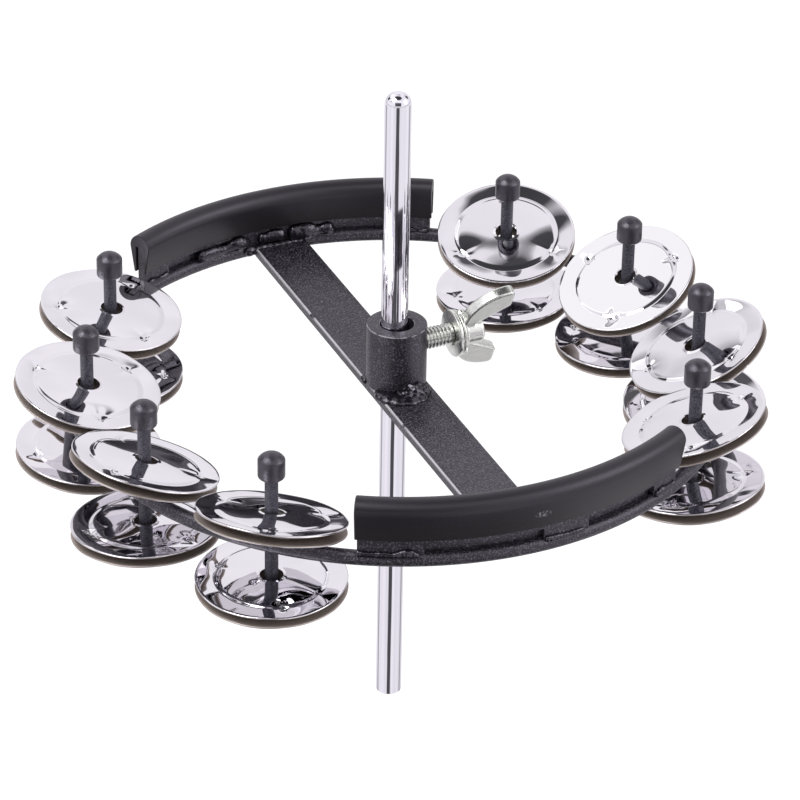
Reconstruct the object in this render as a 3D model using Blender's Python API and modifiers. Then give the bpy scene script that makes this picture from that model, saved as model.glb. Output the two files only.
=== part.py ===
"""Hi-hat tambourine: a steel ring with a cross bar and a collar that clamps on
a pull rod, eight pins that each hold two pairs of jingles, and two rubber
beater pads pushed onto blades that stand on the ring."""

import bmesh
import bpy
from math import asin, atan2, cos, hypot, pi, radians, remainder, sin, sqrt, tan
from mathutils import Matrix

# Clearance between two pieces that touch on the real object.
TOUCH_GAP = 0.0003

# Pull rod: a plain chromed rod, cut flat below and rounded above.
ROD_DIAMETER = 0.0070
ROD_BELOW_RING = 0.0965
ROD_ABOVE_RING = 0.0855
ROD_TOP_ROUND = 0.0031

# Ring of round steel rod.
RING_RADIUS = 0.0855
RING_WIRE = 0.0039

# Cross bar of flat steel, butted against the ring at both ends and welded on
# slightly askew.
BAR_WIDTH = 0.0152
BAR_THICKNESS = 0.0025
BAR_TURN = radians(-1.1)

# Collar welded on the middle of the bar.
COLLAR_DIAMETER = 0.0160
COLLAR_BORE = 0.0090
COLLAR_HEIGHT = 0.0171
COLLAR_EDGE = 0.0003
WELD_FOOT = 0.0012

# Wing bolt through the collar's wall, and the washer under its head.
THREAD_DIAMETER = 0.0058
THREAD_SHOWING = 0.0078
BOLT_BELOW_COLLAR_TOP = 0.0065
WASHER_DIAMETER = 0.0128
WASHER_THICKNESS = 0.0010
FLANGE_DIAMETER = 0.0124
FLANGE_THICKNESS = 0.0008
HUB_DIAMETER = 0.0078
HUB_LENGTH = 0.0062
HUB_SHOULDER = 0.0013
BOLT_EDGE = 0.0006

# Wings: each bows out from the flange and stands on past the end of the hub.
WING_REACH = 0.0155
WING_RISE = 0.0065
WING_BOW = 0.0113
WING_TIP_WIDTH = 0.0063
WING_TIP_ROUND = 0.0013
WING_THICKNESS = 0.0030
WING_LEAN = radians(32)
WING_TURN = radians(-26)

# Pins: each stands against the inner side of the ring, with a head below.
PIN_DIAMETER = 0.0034
PIN_ABOVE_RING = 0.0170
PIN_BELOW_RING = 0.0155
INNER_PIN_ANGLE = radians(14.7)
OUTER_PIN_ANGLE = radians(43.6)
HEAD_DIAMETER = 0.0071
HEAD_HEIGHT = 0.0070
HEAD_ROUND = 0.0010
CAP_DOME = 0.0019
CAP_BORE_DEPTH = 0.0052

# Weld lump between each pin and the ring, which the upper pair leans on.
LUMP_RADIUS = 0.0021
LUMP_OFFSET = 0.0027
LUMP_HEIGHT = 0.0017

# Jingles: thin discs with a flat border and a slightly raised middle. Three
# dimples pressed into each disc hold the two discs of a pair apart.
JINGLE_DIAMETER = 0.0386
JINGLE_THICKNESS = 0.0005
JINGLE_HOLE = 0.0060
BORDER_WIDTH = 0.0048
MIDDLE_RISE = 0.0003
RIM_GAP = 0.0021
DIMPLE_COUNT = 3

# How the loose pairs lie on the pins, from the first pin to the last: how far
# each leans in towards the ring's centre, and how far it rolls to one side.
UPPER_LEANS = (12, 11, 18, 17, 18, 26, 26, 18)
UPPER_ROLLS = (0, -6, 0, 0, 5, 0, 0, 2)
LOWER_LEANS = (2, 4, 1, -1, 4, 6, 3, 6)
LOWER_ROLLS = (-1, -3, 4, 0, -1, -1, 6, -1)

# Blades that stand on the ring and carry the pads.
BLADE_THICKNESS = 0.0020
BLADE_TOP = 0.0135

# Slots between the blades and the ring, from the first to the last degree of
# each, counted from the middle of the pad.
SLOT_HEIGHT = 0.0008
FRONT_SLOTS = ((-19.6, 0.8), (9.4, 24.3))
BACK_SLOTS = ((-23.0, -8.0), (6.5, 23.7))

# Beater pads: a moulded rubber strip with a slot that grips the blade.
PAD_HALF_ANGLE = radians(31)
PAD_WIDTH = 0.0065
PAD_FOOT_WIDTH = 0.0040
PAD_BOTTOM = 0.0061
PAD_TOP = 0.01735
PAD_OVERHANG_ANGLE = radians(0.4)

# Facets of the round pieces.
ROD_SIDES = 20
RING_SIDES = 72
WIRE_SIDES = 10
COLLAR_SIDES = 24
PIN_SIDES = 12
JINGLE_SIDES = 18
PAD_STEPS = 16

# Places that follow from the sizes above.
FRAME_SHIFT = (COLLAR_BORE - ROD_DIAMETER) / 2 - TOUCH_GAP
RING_CENTRE = (FRAME_SHIFT, 0.0, ROD_BELOW_RING)
RING_TOP = RING_WIRE / 2
PIN_CIRCLE = RING_RADIUS - RING_WIRE / 2 - TOUCH_GAP - PIN_DIAMETER / 2
PIN_ANGLES = (
    pi - OUTER_PIN_ANGLE,
    pi - INNER_PIN_ANGLE,
    pi + INNER_PIN_ANGLE,
    pi + OUTER_PIN_ANGLE,
    OUTER_PIN_ANGLE,
    INNER_PIN_ANGLE,
    -INNER_PIN_ANGLE,
    -OUTER_PIN_ANGLE,
)
HALF_STACK = RIM_GAP / 2 + JINGLE_THICKNESS + MIDDLE_RISE
COLLAR_FOOT = BAR_THICKNESS / 2 + TOUCH_GAP
COLLAR_TOP = COLLAR_FOOT + COLLAR_HEIGHT
BOLT_HEIGHT = COLLAR_TOP - BOLT_BELOW_COLLAR_TOP


def clear_scene():
    for thing in list(bpy.data.objects):
        bpy.data.objects.remove(thing)


def make_collection(name):
    collection = bpy.data.collections.new(name)
    bpy.context.scene.collection.children.link(collection)
    return collection


def make_material(name, colour, roughness, metallic):
    material = bpy.data.materials.new(name)
    material.use_nodes = True
    shader = material.node_tree.nodes["Principled BSDF"]
    shader.inputs["Base Color"].default_value = (*colour, 1.0)
    shader.inputs["Roughness"].default_value = roughness
    shader.inputs["Metallic"].default_value = metallic
    return material


def place(name, data, matrix, collection, material=None):
    """Put one object at a place given by a matrix."""
    thing = bpy.data.objects.new(name, data)
    collection.objects.link(thing)
    thing.matrix_world = matrix
    if material:
        data.materials.clear()
        data.materials.append(material)
    return thing


def baked(thing):
    """Turn an object and its modifiers into one closed mesh, and drop it."""
    graph = bpy.context.evaluated_depsgraph_get()
    mesh = bpy.data.meshes.new_from_object(thing.evaluated_get(graph))
    mesh.transform(thing.matrix_world)
    shape = bmesh.new()
    shape.from_mesh(mesh)
    bmesh.ops.remove_doubles(shape, verts=shape.verts, dist=0.000005)
    bmesh.ops.recalc_face_normals(shape, faces=shape.faces)
    shape.to_mesh(mesh)
    shape.free()
    bpy.data.objects.remove(thing)
    return mesh


def round_shading(mesh, angle=radians(35)):
    mesh.shade_smooth()
    mesh.set_sharp_from_angle(angle=angle)


def turned_mesh(name, profile, sides, closed=False):
    """Turn a profile of (radius, height) points about Z."""
    outline = bpy.data.meshes.new(name)
    points = [(radius, 0.0, height) for radius, height in profile]
    edges = [(first, first + 1) for first in range(len(points) - 1)]
    if closed:
        edges.append((len(points) - 1, 0))
    outline.from_pydata(points, edges, [])
    blank = bpy.data.objects.new(name, outline)
    bpy.context.scene.collection.objects.link(blank)
    turn = blank.modifiers.new("Turn", "SCREW")
    turn.steps = sides
    turn.render_steps = sides
    turn.use_merge_vertices = True
    turn.merge_threshold = 0.00001
    mesh = baked(blank)
    mesh.name = name
    round_shading(mesh)
    return mesh


def swept_mesh(name, section, radius, half_angle, steps):
    """Sweep a section of (offset from the radius, height) points along an arc
    about Z whose middle is on +X."""
    shape = bmesh.new()
    corners = [shape.verts.new((radius + offset, 0.0, height)) for offset, height in section]
    shape.faces.new(corners)
    bmesh.ops.rotate(shape, verts=shape.verts, matrix=Matrix.Rotation(-half_angle, 3, "Z"))
    bmesh.ops.spin(
        shape,
        geom=shape.verts[:] + shape.edges[:] + shape.faces[:],
        cent=(0.0, 0.0, 0.0),
        axis=(0.0, 0.0, 1.0),
        angle=2 * half_angle,
        steps=steps,
    )
    bmesh.ops.recalc_face_normals(shape, faces=shape.faces)
    mesh = bpy.data.meshes.new(name)
    shape.to_mesh(mesh)
    shape.free()
    return mesh


def flat_curve(name, outlines, thickness):
    """A flat shape in XY, as thick as asked about Z = 0."""
    curve = bpy.data.curves.new(name, "CURVE")
    curve.dimensions = "2D"
    curve.fill_mode = "BOTH"
    curve.extrude = thickness / 2
    for outline in outlines:
        spline = curve.splines.new("POLY")
        spline.points.add(len(outline) - 1)
        for point, (x, y) in zip(spline.points, outline):
            point.co = (x, y, 0.0, 1.0)
        spline.use_cyclic_u = True
    return curve


def arc_points(centre, radius, start, end, steps):
    points = []
    for step in range(steps + 1):
        angle = start + (end - start) * step / steps
        points.append((centre[0] + radius * cos(angle), centre[1] + radius * sin(angle)))
    return points


def join_or_cut(thing, tool, operation):
    tool.hide_render = True
    tool.display_type = "WIRE"
    change = thing.modifiers.new(tool.name, "BOOLEAN")
    change.operation = operation
    change.solver = "EXACT"
    change.object = tool


def at(x, y, z):
    return Matrix.Translation((x, y, z))


def on_ring(angle, radius=0.0, height=0.0):
    """Frame with X pointing out from the ring's centre at an angle."""
    return at(*RING_CENTRE) @ Matrix.Rotation(angle, 4, "Z") @ at(radius, 0.0, height)


def ring_object(name, wire_radius, matrix, collection):
    """The ring's own shape, as thick as asked."""
    bpy.ops.mesh.primitive_torus_add(
        major_segments=RING_SIDES,
        minor_segments=WIRE_SIDES,
        major_radius=RING_RADIUS,
        minor_radius=wire_radius,
    )
    ring = bpy.context.object
    ring.name = name
    ring.matrix_world = matrix
    for owner in ring.users_collection:
        owner.objects.unlink(ring)
    collection.objects.link(ring)
    return ring


def make_pull_rod(parts, finish):
    radius = ROD_DIAMETER / 2
    length = ROD_BELOW_RING + ROD_ABOVE_RING
    crown = arc_points((radius - ROD_TOP_ROUND, length - ROD_TOP_ROUND), ROD_TOP_ROUND, pi / 2, 0.0, 5)
    profile = [(0.0, length)] + crown + [(radius, 0.0), (0.0, 0.0)]
    place("pull_rod", turned_mesh("pull_rod", profile, ROD_SIDES), Matrix(), parts, finish)


def make_ring(parts, finish):
    ring = ring_object("ring", RING_WIRE / 2, at(*RING_CENTRE), parts)
    ring.data.materials.append(finish)
    round_shading(ring.data)


def make_cross_bar(parts, finish):
    reach = RING_RADIUS - RING_WIRE / 2 - TOUCH_GAP
    half_turn = asin(BAR_WIDTH / 2 / reach)
    right_end = arc_points((0.0, 0.0), reach, pi / 2 + half_turn, pi / 2 - half_turn, 6)
    left_end = arc_points((0.0, 0.0), reach, -pi / 2 + half_turn, -pi / 2 - half_turn, 6)
    hole = arc_points((0.0, 0.0), COLLAR_BORE / 2, 0.0, 2 * pi, COLLAR_SIDES)[:-1]
    bar = flat_curve("cross_bar", [right_end + left_end, hole], BAR_THICKNESS)
    askew = Matrix.Rotation(BAR_TURN, 4, "Z")
    place("cross_bar", bar, at(*RING_CENTRE) @ askew, parts, finish)


def make_collar(parts, cutters, finish):
    outer = COLLAR_DIAMETER / 2
    inner = COLLAR_BORE / 2
    profile = [
        (inner, COLLAR_TOP),
        (outer - COLLAR_EDGE, COLLAR_TOP),
        (outer, COLLAR_TOP - COLLAR_EDGE),
        (outer, COLLAR_FOOT + WELD_FOOT),
        (outer + WELD_FOOT, COLLAR_FOOT),
        (inner, COLLAR_FOOT),
    ]
    collar = place(
        "rod_collar",
        turned_mesh("rod_collar", profile, COLLAR_SIDES, closed=True),
        at(*RING_CENTRE),
        parts,
        finish,
    )
    tap = bmesh.new()
    bmesh.ops.create_cone(
        tap,
        cap_ends=True,
        segments=COLLAR_SIDES,
        radius1=THREAD_DIAMETER / 2 + TOUCH_GAP,
        radius2=THREAD_DIAMETER / 2 + TOUCH_GAP,
        depth=COLLAR_DIAMETER,
    )
    tap_mesh = bpy.data.meshes.new("tapped_hole")
    tap.to_mesh(tap_mesh)
    tap.free()
    across = bolt_frame() @ at(0.0, 0.0, COLLAR_DIAMETER / 2)
    join_or_cut(collar, place("tapped_hole", tap_mesh, across, cutters), "DIFFERENCE")


def bolt_frame():
    """Frame on the collar's axis with Z along the bolt, away from the rod,
    and X along the upper wing."""
    turn = Matrix.Rotation(pi / 2, 4, "Y") @ Matrix.Rotation(pi - WING_TURN, 4, "Z")
    return at(*RING_CENTRE) @ at(0.0, 0.0, BOLT_HEIGHT) @ turn


def wing_points(side, foot, hub_end):
    """Outline of one wing in the plane of (radial, along the bolt)."""
    tip = hub_end + WING_RISE - WING_TIP_ROUND
    bow_middle = WING_REACH - WING_BOW
    start = asin(min(1.0, (tip - foot) / WING_BOW))
    inner = WING_REACH - WING_TIP_WIDTH + WING_TIP_ROUND
    bow = arc_points((bow_middle, tip), WING_BOW, -start, 0.0, 6)
    points = [
        (0.0, foot),
        (bow[0][0], foot),
        *bow[1:],
        *arc_points((WING_REACH - WING_TIP_ROUND, tip), WING_TIP_ROUND, 0.0, pi / 2, 3)[1:],
        *arc_points((inner, tip), WING_TIP_ROUND, pi / 2, pi - WING_LEAN, 2),
    ]
    across, up = points[-1]
    points.append((0.0, up - across / tan(WING_LEAN)))
    return [(side * u, w) for u, w in points]


def make_wing_bolt(parts, cutters, bolt_finish, washer_finish):
    washer_face = COLLAR_DIAMETER / 2 + THREAD_SHOWING
    flange_face = washer_face + WASHER_THICKNESS + TOUCH_GAP
    hub_face = flange_face + FLANGE_THICKNESS
    hub_end = hub_face + HUB_LENGTH
    tip = ROD_DIAMETER / 2 + TOUCH_GAP - FRAME_SHIFT
    profile = [
        (0.0, hub_end),
        (HUB_DIAMETER / 2 - BOLT_EDGE, hub_end),
        (HUB_DIAMETER / 2, hub_end - BOLT_EDGE),
        (HUB_DIAMETER / 2, hub_face + HUB_SHOULDER),
        (HUB_DIAMETER / 2 + HUB_SHOULDER, hub_face),
        (FLANGE_DIAMETER / 2, hub_face),
        (FLANGE_DIAMETER / 2, flange_face),
        (THREAD_DIAMETER / 2, flange_face),
        (THREAD_DIAMETER / 2, tip + BOLT_EDGE),
        (THREAD_DIAMETER / 2 - BOLT_EDGE, tip),
        (0.0, tip),
    ]
    bolt = place(
        "wing_bolt", turned_mesh("wing_bolt", profile, COLLAR_SIDES), bolt_frame(), parts, bolt_finish
    )
    wing_foot = hub_face - FLANGE_THICKNESS / 2
    for number, side in enumerate((1, -1), start=1):
        points = wing_points(side, wing_foot, hub_end)
        outline = flat_curve(f"wing_{number}", [points], WING_THICKNESS)
        blank = bpy.data.objects.new(f"wing_{number}", outline)
        bpy.context.scene.collection.objects.link(blank)
        blank.matrix_world = Matrix.Rotation(pi / 2, 4, "X")
        bpy.context.view_layer.update()
        wing = place(f"wing_{number}", baked(blank), bolt_frame(), cutters)
        join_or_cut(bolt, wing, "UNION")

    ring_profile = [
        (THREAD_DIAMETER / 2 + TOUCH_GAP, washer_face + WASHER_THICKNESS),
        (WASHER_DIAMETER / 2, washer_face + WASHER_THICKNESS),
        (WASHER_DIAMETER / 2, washer_face),
        (THREAD_DIAMETER / 2 + TOUCH_GAP, washer_face),
    ]
    washer = turned_mesh("bolt_washer", ring_profile, COLLAR_SIDES, closed=True)
    place("bolt_washer", washer, bolt_frame(), parts, washer_finish)


def make_blades_and_pads(parts, cutters, blade_finish, pad_finish):
    half_blade = BLADE_THICKNESS / 2
    groove = half_blade + TOUCH_GAP
    foot = RING_TOP + TOUCH_GAP
    blade_section = [
        (half_blade, BLADE_TOP),
        (half_blade, foot),
        (-half_blade, foot),
        (-half_blade, BLADE_TOP),
    ]
    crown = arc_points((0.0, PAD_TOP - PAD_WIDTH / 2), PAD_WIDTH / 2, pi, 0.0, 8)
    pad_section = [
        (-groove, BLADE_TOP + TOUCH_GAP),
        (-groove, PAD_BOTTOM),
        (-PAD_FOOT_WIDTH / 2, PAD_BOTTOM),
        *crown,
        (PAD_FOOT_WIDTH / 2, PAD_BOTTOM),
        (groove, PAD_BOTTOM),
        (groove, BLADE_TOP + TOUCH_GAP),
    ]
    slot_top = RING_TOP + SLOT_HEIGHT
    slot_section = [(groove, slot_top), (groove, 0.0), (-groove, 0.0), (-groove, slot_top)]
    blade_half_angle = PAD_HALF_ANGLE - PAD_OVERHANG_ANGLE

    for side, middle, slots in (("front", -pi / 2, FRONT_SLOTS), ("back", pi / 2, BACK_SLOTS)):
        blade_mesh = swept_mesh(f"{side}_blade", blade_section, RING_RADIUS, blade_half_angle, PAD_STEPS)
        blade = place(f"{side}_pad_rail", blade_mesh, on_ring(middle), parts, blade_finish)
        for number, (first, last) in enumerate(slots, start=1):
            half_angle = radians(last - first) / 2
            turn = middle + radians(first + last) / 2
            cutter_name = f"{side}_slot_{number}"
            cutter = swept_mesh(cutter_name, slot_section, RING_RADIUS, half_angle, PAD_STEPS // 2)
            join_or_cut(blade, place(cutter_name, cutter, on_ring(turn), cutters), "DIFFERENCE")
        pad_mesh = swept_mesh(f"{side}_pad", pad_section, RING_RADIUS, PAD_HALF_ANGLE, PAD_STEPS)
        round_shading(pad_mesh)
        place(f"{side}_beater_pad", pad_mesh, on_ring(middle), parts, pad_finish)


def dome_points(top):
    """Domed end of a cap, from its middle to its side."""
    radius = HEAD_DIAMETER / 2
    dome_radius = (radius ** 2 + CAP_DOME ** 2) / (2 * CAP_DOME)
    side_angle = pi / 2 - asin(radius / dome_radius)
    return arc_points((0.0, top - dome_radius), dome_radius, pi / 2, side_angle, 4)


def welded_pin_mesh(plain_mesh, cutters):
    """Add the weld lump to a plain pin, shaped to the ring beside it."""
    lump = bmesh.new()
    bmesh.ops.create_uvsphere(lump, u_segments=PIN_SIDES, v_segments=PIN_SIDES // 2, radius=LUMP_RADIUS)
    lump_mesh = bpy.data.meshes.new("weld_lump")
    lump.to_mesh(lump_mesh)
    lump.free()
    pin = bpy.data.objects.new("welded_pin", plain_mesh)
    bpy.context.scene.collection.objects.link(pin)
    lump_place = at(LUMP_OFFSET, 0.0, LUMP_HEIGHT)
    join_or_cut(pin, place("weld_lump", lump_mesh, lump_place, cutters), "UNION")
    ring_place = at(-PIN_CIRCLE, 0.0, 0.0)
    join_or_cut(pin, ring_object("ring_room", RING_WIRE / 2 + TOUCH_GAP, ring_place, cutters), "DIFFERENCE")
    bpy.context.view_layer.update()
    mesh = baked(pin)
    mesh.name = "jingle_pin"
    round_shading(mesh)
    return mesh


def make_pins(parts, cutters, pin_finish, cap_finish):
    radius = PIN_DIAMETER / 2
    bore = radius + TOUCH_GAP
    bore_top = PIN_ABOVE_RING + CAP_BORE_DEPTH
    pin_top = bore_top - TOUCH_GAP
    head_radius = HEAD_DIAMETER / 2
    head_bottom = -PIN_BELOW_RING - HEAD_HEIGHT
    corner = (head_radius - HEAD_ROUND, head_bottom + HEAD_ROUND)
    pin_profile = [
        (0.0, pin_top),
        (radius, pin_top),
        (radius, -PIN_BELOW_RING),
        (head_radius, -PIN_BELOW_RING),
        *arc_points(corner, HEAD_ROUND, 0.0, -pi / 2, 2),
        (0.0, head_bottom),
    ]
    cap_profile = [
        *dome_points(PIN_ABOVE_RING + HEAD_HEIGHT),
        (head_radius, PIN_ABOVE_RING),
        (bore, PIN_ABOVE_RING),
        (bore, bore_top),
        (0.0, bore_top),
    ]
    pin_mesh = welded_pin_mesh(turned_mesh("plain_pin", pin_profile, PIN_SIDES), cutters)
    cap_mesh = turned_mesh("pin_cap", cap_profile, PIN_SIDES)
    for number, angle in enumerate(PIN_ANGLES, start=1):
        place(f"jingle_pin_{number}", pin_mesh, on_ring(angle, PIN_CIRCLE), parts, pin_finish)
        place(f"pin_cap_{number}", cap_mesh, on_ring(angle, PIN_CIRCLE), parts, cap_finish)


def jingle_mesh():
    """One disc of a pair, with the pair's middle plane at Z = 0."""
    radius = JINGLE_DIAMETER / 2
    hole = JINGLE_HOLE / 2
    crease = radius - BORDER_WIDTH
    border = RIM_GAP / 2
    profile = [
        (hole, HALF_STACK),
        (crease, border + JINGLE_THICKNESS),
        (radius, border + JINGLE_THICKNESS),
        (radius, border),
        (crease, border),
        (hole, HALF_STACK - JINGLE_THICKNESS),
    ]
    mesh = turned_mesh("jingle", profile, JINGLE_SIDES, closed=True)
    spacing = 2 * pi / DIMPLE_COUNT
    for vertex in mesh.vertices:
        x, y = vertex.co.xy
        off_dimple = abs(remainder(atan2(y, x), spacing))
        on_crease = abs(hypot(x, y) - crease) < JINGLE_THICKNESS / 2
        if on_crease and off_dimple < pi / JINGLE_SIDES:
            vertex.co.z -= border - TOUCH_GAP / 2
    round_shading(mesh, radians(20))
    return mesh


def upper_height(lean):
    """Height of an upper pair's middle when the hole's edge in its lower disc
    rests on the weld lump."""
    across = LUMP_OFFSET * cos(lean) - JINGLE_HOLE / 2
    down = HALF_STACK - LUMP_OFFSET * sin(lean)
    clear = LUMP_RADIUS + TOUCH_GAP
    lift = across * sin(lean) + down * cos(lean)
    return LUMP_HEIGHT + lift + sqrt(lift ** 2 + clear ** 2 - across ** 2 - down ** 2)


def lower_height(lean, roll):
    """Height of a lower pair's middle when it rests on the pin's head."""
    tilt = hypot(lean, roll)
    head_top = TOUCH_GAP - PIN_BELOW_RING
    return head_top + HALF_STACK * cos(tilt) + HEAD_DIAMETER / 2 * sin(tilt)


def make_jingles(parts, finish):
    mesh = jingle_mesh()
    turned_over = Matrix.Rotation(pi, 4, "X")
    for place_number, angle in enumerate(PIN_ANGLES):
        upper_lean = radians(UPPER_LEANS[place_number])
        upper_roll = radians(UPPER_ROLLS[place_number])
        lower_lean = radians(LOWER_LEANS[place_number])
        lower_roll = radians(LOWER_ROLLS[place_number])
        levels = (
            ("upper", upper_lean, upper_roll, upper_height(upper_lean)),
            ("lower", lower_lean, lower_roll, lower_height(lower_lean, lower_roll)),
        )
        for level, lean, roll, height in levels:
            tilt = Matrix.Rotation(-lean, 4, "Y") @ Matrix.Rotation(roll, 4, "X")
            frame = on_ring(angle, PIN_CIRCLE, height) @ tilt
            pair = f"jingle_{place_number + 1}_{level}"
            place(f"{pair}_top", mesh, frame, parts, finish)
            place(f"{pair}_base", mesh, frame @ turned_over, parts, finish)


def build():
    clear_scene()
    parts = make_collection("hi_hat_tambourine")
    cutters = make_collection("cutters")
    chrome = make_material("chromed_rod", (0.78, 0.78, 0.80), 0.08, 1.0)
    black_coat = make_material("black_powder_coat", (0.022, 0.022, 0.024), 0.45, 0.0)
    bolt_zinc = make_material("zinc_bolt", (0.76, 0.77, 0.74), 0.25, 1.0)
    washer_zinc = make_material("zinc_washer", (0.72, 0.74, 0.72), 0.28, 1.0)
    pin_black = make_material("blackened_pin", (0.030, 0.032, 0.036), 0.55, 0.3)
    cap_black = make_material("black_cap", (0.026, 0.027, 0.030), 0.50, 0.0)
    rubber = make_material("black_rubber", (0.020, 0.020, 0.021), 0.55, 0.0)
    nickel = make_material("polished_nickel", (0.70, 0.69, 0.68), 0.10, 1.0)

    make_pull_rod(parts, chrome)
    make_ring(parts, black_coat)
    make_cross_bar(parts, black_coat)
    make_collar(parts, cutters, black_coat)
    make_wing_bolt(parts, cutters, bolt_zinc, washer_zinc)
    make_blades_and_pads(parts, cutters, black_coat, rubber)
    make_pins(parts, cutters, pin_black, cap_black)
    make_jingles(parts, nickel)


build()
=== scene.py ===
"""The looks of the hi-hat tambourine, laid out as an add-on: its sizes and colours
are in the sidebar, with a button for each group of pieces and for the studio."""

from math import asin, cos, exp, hypot, pi, radians, sin, tan

import bpy
import numpy as np
from bpy.props import FloatProperty, FloatVectorProperty, PointerProperty
from mathutils import Matrix, Vector, noise


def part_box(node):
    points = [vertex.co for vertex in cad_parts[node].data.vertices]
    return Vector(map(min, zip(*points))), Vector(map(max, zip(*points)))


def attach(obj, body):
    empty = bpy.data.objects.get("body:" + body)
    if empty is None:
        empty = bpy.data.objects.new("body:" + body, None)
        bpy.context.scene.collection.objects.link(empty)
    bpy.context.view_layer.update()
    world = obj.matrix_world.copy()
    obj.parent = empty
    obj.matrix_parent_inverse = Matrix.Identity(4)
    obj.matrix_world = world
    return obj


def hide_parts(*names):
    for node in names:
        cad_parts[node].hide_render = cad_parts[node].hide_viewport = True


bl_info = {
    "name": "Hi-hat tambourine",
    "version": (1, 0, 0),
    "blender": (4, 5, 0),
    "location": "3D View > Sidebar > Tambourine",
    "description": "Builds a steel hi-hat tambourine with loose jingles and rubber pads",
    "category": "Object",
}

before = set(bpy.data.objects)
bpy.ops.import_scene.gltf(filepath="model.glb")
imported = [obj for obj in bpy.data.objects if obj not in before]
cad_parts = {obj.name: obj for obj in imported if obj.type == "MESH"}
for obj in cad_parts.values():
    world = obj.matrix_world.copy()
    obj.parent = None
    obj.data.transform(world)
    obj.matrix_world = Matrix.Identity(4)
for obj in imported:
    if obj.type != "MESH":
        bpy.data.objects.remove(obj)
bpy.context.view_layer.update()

MM = 0.001
MERGE = 0.000002


def box_middle(node):
    low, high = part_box(node)
    return (Vector(low) + Vector(high)) / 2


def box_size(node):
    low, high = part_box(node)
    return Vector(high) - Vector(low)


RING_CENTRE = box_middle("ring")
BOLT_AXIS = box_middle("bolt_washer")
PIN_NUMBERS = range(1, 9)
BAR_TURN = radians(-1.1)

# Where something rubbed the front pad grey.
SCUFF_PLACE = RING_CENTRE + Vector((0.0, -88.6, 10.4)) * MM

# The camera as it stood for the photograph.
VIEW_AZIMUTH = radians(-24.76)
VIEW_ELEVATION = radians(30.24)
VIEW_ROLL = radians(1.014)
VIEW_LENS = 178.0
VIEW_DISTANCE = 1.045
VIEW_AIM = RING_CENTRE + Vector((0.2, -2.3, -3.5)) * MM


def linear(hex_colour):
    """An sRGB hex colour as the linear values that Blender works in."""
    channels = [int(hex_colour[place : place + 2], 16) / 255 for place in (0, 2, 4)]
    return tuple(c / 12.92 if c <= 0.04045 else ((c + 0.055) / 1.055) ** 2.4 for c in channels)


def length_property(name, description, default):
    return FloatProperty(
        name=name, description=description, default=default, subtype="DISTANCE", unit="LENGTH"
    )


def colour_property(name, description, default):
    return FloatVectorProperty(
        name=name,
        description=description,
        default=linear(default),
        subtype="COLOR",
        size=3,
        min=0.0,
        max=1.0,
    )


class TambourineSizes(bpy.types.PropertyGroup):
    ring_wire: length_property("Ring rod", "Thickness of the rod that the ring is bent from", 3.9 * MM)
    bar_width: length_property("Bar width", "Width of the flat cross bar", 15.2 * MM)
    bar_edge: length_property("Bar edge", "Rounding along the cross bar's edges", 0.35 * MM)
    collar_diameter: length_property("Collar", "Outer diameter of the collar", 16.0 * MM)
    collar_bore: length_property("Collar bore", "Hole through the collar for the pull rod", 9.0 * MM)
    thread_diameter: length_property("Thread", "Outer diameter of the wing bolt's thread", 5.8 * MM)
    thread_pitch: length_property("Thread pitch", "Distance from one thread ridge to the next", 1.0 * MM)
    wing_thickness: length_property("Wing thickness", "Thickness of the bolt's wings", 3.0 * MM)
    flange_diameter: length_property("Bolt flange", "Diameter of the flange under the wings", 12.4 * MM)
    hub_diameter: length_property("Bolt hub", "Diameter of the hub between the wings", 7.8 * MM)
    pin_diameter: length_property("Pin", "Diameter of the pins that hold the jingles", 3.4 * MM)
    jingle_diameter: length_property("Jingle", "Diameter of the discs", 38.4 * MM)
    jingle_thickness: length_property("Jingle sheet", "Thickness of the discs' sheet", 0.5 * MM)
    jingle_hole: length_property("Jingle hole", "Hole in the middle of each disc", 6.0 * MM)
    border_width: length_property("Jingle border", "Width of the flat border of each disc", 4.8 * MM)
    dimple_width: length_property("Dimple width", "Width of the dimples pressed into each disc", 1.5 * MM)
    blade_thickness: length_property("Blade thickness", "Thickness of the blades under the pads", 2.0 * MM)


class TambourineColours(bpy.types.PropertyGroup):
    chrome: colour_property("Chrome", "Chromium plating of the pull rod", "f5f3fa")
    coat: colour_property("Powder coat", "Black powder coat on the welded steel", "0c0b0e")
    speck: colour_property("Coat speck", "Grains of the powder coat that catch the light", "67636e")
    # Also the colour of a painted highlight along the bar's and collar's edges.
    bare_steel: colour_property("Worn edge", "Bare steel where the coat has worn off", "c9c6cc")
    rubber: colour_property("Rubber", "Black rubber of the beater pads", "0f0e11")
    scuff: colour_property("Scuff", "Grey marks where the rubber was rubbed", "77747a")
    zinc: colour_property("Zinc", "Zinc plating of the wing bolt", "e9ebe5")
    nickel: colour_property("Nickel", "Nickel plating of the jingles", "edebef")
    # Darker and browner than the nickel: partly painted shade between the discs of a pair.
    dull_nickel_and_painted_shade: colour_property("Dull nickel", "Unpolished inner faces of the jingles", "b3a8a2")
    pin: colour_property("Pin", "Blackened steel of the pins", "35343c")
    cap: colour_property("Cap", "Black caps and feet on the pins", "28252c")
    floor: colour_property("Floor", "Pale floor of the studio", "f0f0f0")


def sizes():
    return bpy.context.scene.tambourine_sizes


def colours():
    return bpy.context.scene.tambourine_colours


# Modelling by hand: every helper starts with nothing selected.


def fresh_start():
    if bpy.context.object and bpy.context.object.mode != "OBJECT":
        bpy.ops.object.mode_set(mode="OBJECT")
    bpy.ops.object.select_all(action="DESELECT")


def pick(*pieces):
    """Select these pieces alone, with the first one active."""
    fresh_start()
    for piece in pieces:
        piece.select_set(True)
    bpy.context.view_layer.objects.active = pieces[0]


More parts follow.
